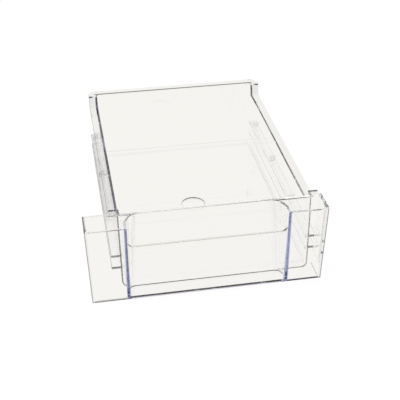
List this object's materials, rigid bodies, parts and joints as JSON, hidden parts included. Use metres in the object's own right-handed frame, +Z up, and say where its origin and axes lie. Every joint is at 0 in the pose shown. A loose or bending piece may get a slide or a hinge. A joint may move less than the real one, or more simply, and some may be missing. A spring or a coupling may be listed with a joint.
{
  "type": "freezer ice drawer",
  "caption": "Clear open-topped freezer drawer for ice cubes, with a finger pocket behind a notched fascia, an off-centre tub with a turned-out rim, and runner flanges along its sides.",
  "frame": {"origin": "on the underside, below the middle of the drawer's overall length and width", "axes": "+Z up out of the tub, -Y out of the fascia, +X to the right seen from in front"},
  "size_m": [0.21, 0.264, 0.075],
  "materials": {
    "clear_plastic": "clear, polished"
  },
  "bodies": {
    "root": {"ice_drawer": "clear_plastic"}
  },
  "joints": []
}
